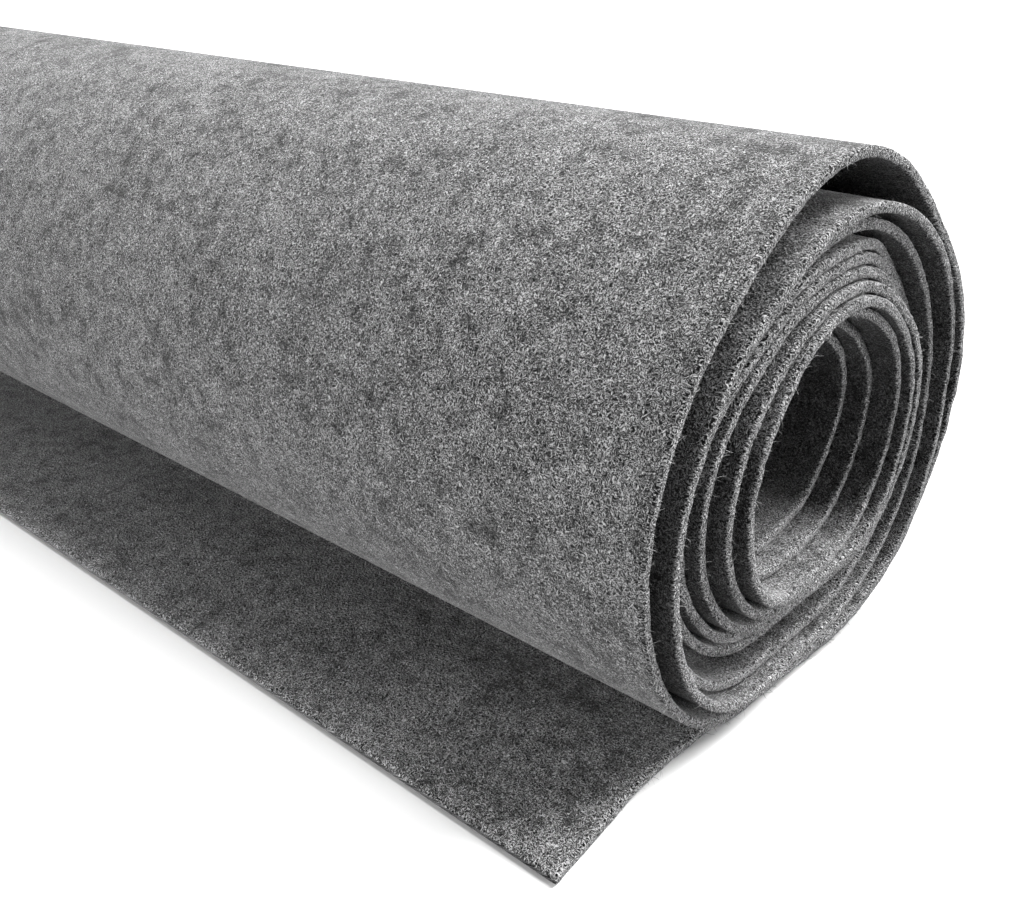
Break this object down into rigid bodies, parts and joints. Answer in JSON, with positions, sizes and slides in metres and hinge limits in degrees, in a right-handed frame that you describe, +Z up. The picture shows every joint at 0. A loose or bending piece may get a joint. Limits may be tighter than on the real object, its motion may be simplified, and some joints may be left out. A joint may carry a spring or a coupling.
{
  "type": "roll of felt",
  "caption": "Roll of thick heather-grey wool felt lying on its side, wound loosely round an open core, with its outer end let out in front.",
  "frame": {"origin": "on the surface the roll lies on, under the middle of the roll with its loose end", "axes": "+X along the roll, towards the end drawn with its turns at different depths; -Y towards the loose end; +Z up"},
  "size_m": [1.0238, 0.1926, 0.156],
  "materials": {
    "felt": "matte heather-grey wool felt with pale and dark flecks and soft fibrous cut edges"
  },
  "bodies": {
    "root": {"felt_roll": "felt"}
  },
  "joints": []
}
